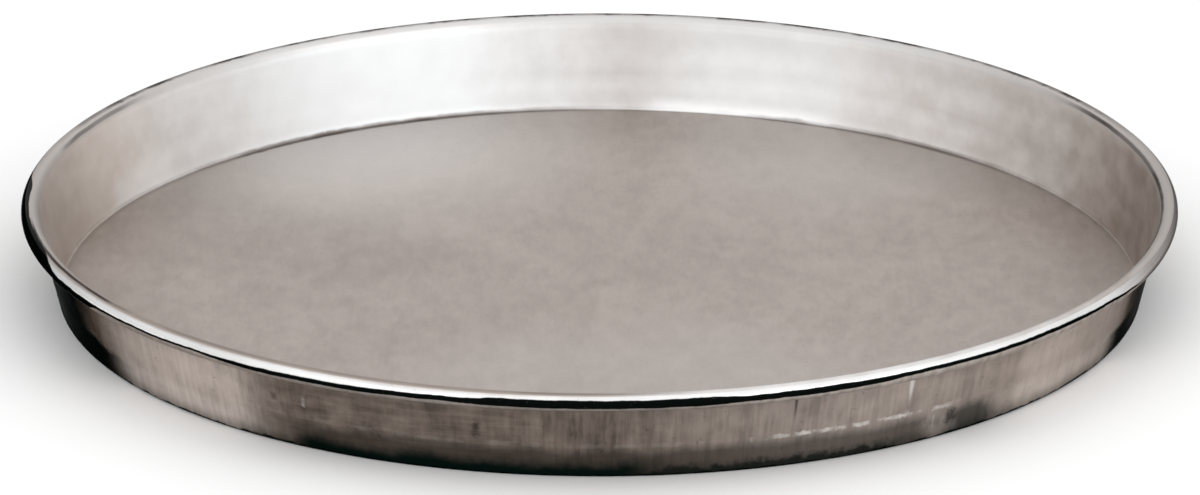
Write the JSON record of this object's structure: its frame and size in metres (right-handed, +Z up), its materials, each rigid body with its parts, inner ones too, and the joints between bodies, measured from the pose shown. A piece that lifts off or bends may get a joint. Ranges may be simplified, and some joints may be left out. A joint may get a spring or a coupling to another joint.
{
  "type": "round baking tray",
  "caption": "Shallow round baking tray in coated sheet steel, with a flat base, a wall that leans outwards and a rim rolled over a stiffening wire.",
  "frame": {"origin": "middle of the flat underside of the base, where the tray stands", "axes": "+Z up along the tray's axis, +Y towards the back as the picture sees it, +X to the right"},
  "size_m": [0.36, 0.36, 0.03],
  "materials": {
    "coated_sheet": "satin metal-coated sheet, warm grey, lightly marked by drawing and use",
    "rim_wire_steel": "plain drawn wire"
  },
  "bodies": {
    "root": {"tray_shell": "coated_sheet", "rim_wire": "rim_wire_steel"}
  },
  "joints": []
}
